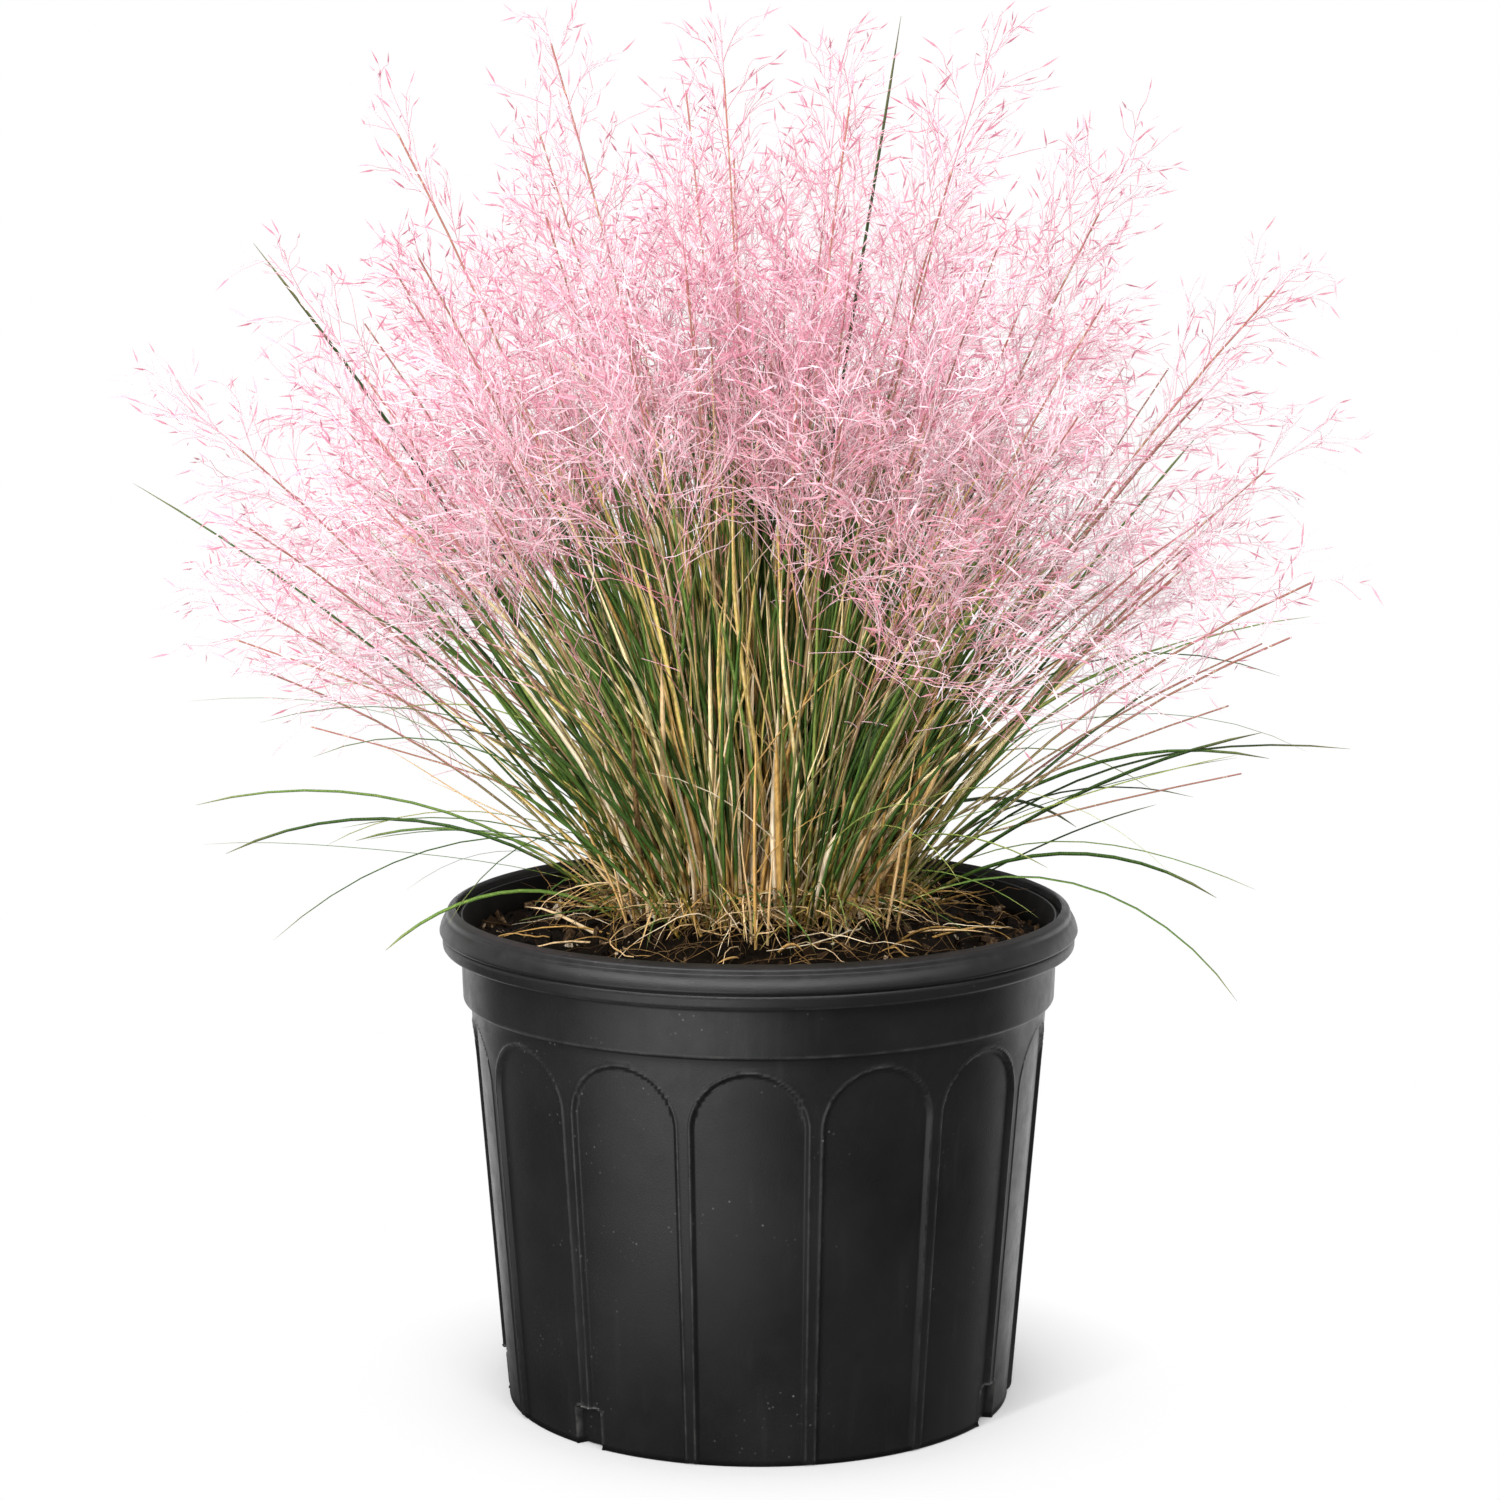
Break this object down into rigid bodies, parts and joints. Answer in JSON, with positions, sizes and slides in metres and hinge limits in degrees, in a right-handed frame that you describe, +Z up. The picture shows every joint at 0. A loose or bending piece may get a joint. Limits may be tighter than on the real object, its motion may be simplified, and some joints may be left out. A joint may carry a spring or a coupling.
{
  "type": "potted pink muhly grass",
  "caption": "Clump of pink muhly grass in flower, with green blades, dry sheaths and airy pink panicles, standing in a black ribbed nursery pot with soil.",
  "frame": {"origin": "middle of the pot's foot, on the ground", "axes": "+Z up along the pot's axis, +X to the viewer's right, -Y towards the side with the shortest-leaning culms"},
  "size_m": [0.5674, 0.4631, 0.657],
  "materials": {
    "pot_plastic": "satin",
    "potting_mix": "matte",
    "green_blades": "satin",
    "dry_straw": "matte",
    "pink_panicles": "matte"
  },
  "bodies": {
    "root": {"pot": "pot_plastic", "soil": "potting_mix", "tuft_1": "green_blades", "tuft_2": "green_blades", "tuft_3": "green_blades", "tuft_4": "green_blades", "tuft_5": "green_blades", "tuft_6": "green_blades", "tuft_centre": "green_blades", "straw_1": "dry_straw", "straw_2": "dry_straw", "straw_3": "dry_straw", "straw_4": "dry_straw", "straw_5": "dry_straw", "straw_6": "dry_straw", "panicle_01": "pink_panicles", "panicle_02": "pink_panicles", "panicle_03": "pink_panicles", "panicle_04": "pink_panicles", "panicle_05": "pink_panicles", "panicle_06": "pink_panicles", "panicle_07": "pink_panicles", "panicle_08": "pink_panicles", "panicle_09": "pink_panicles", "panicle_10": "pink_panicles", "panicle_11": "pink_panicles", "panicle_12": "pink_panicles", "panicle_13": "pink_panicles", "panicle_14": "pink_panicles", "panicle_15": "pink_panicles", "panicle_16": "pink_panicles", "panicle_17": "pink_panicles", "panicle_18": "pink_panicles", "panicle_19": "pink_panicles", "panicle_20": "pink_panicles", "panicle_21": "pink_panicles", "panicle_22": "pink_panicles", "panicle_23": "pink_panicles", "panicle_24": "pink_panicles", "panicle_25": "pink_panicles", "panicle_26": "pink_panicles", "panicle_27": "pink_panicles", "panicle_28": "pink_panicles", "panicle_29": "pink_panicles", "panicle_30": "pink_panicles", "panicle_31": "pink_panicles", "panicle_32": "pink_panicles", "panicle_33": "pink_panicles", "panicle_34": "pink_panicles", "panicle_35": "pink_panicles", "panicle_36": "pink_panicles", "panicle_37": "pink_panicles", "panicle_38": "pink_panicles", "panicle_39": "pink_panicles", "panicle_40": "pink_panicles", "panicle_41": "pink_panicles"}
  },
  "joints": []
}
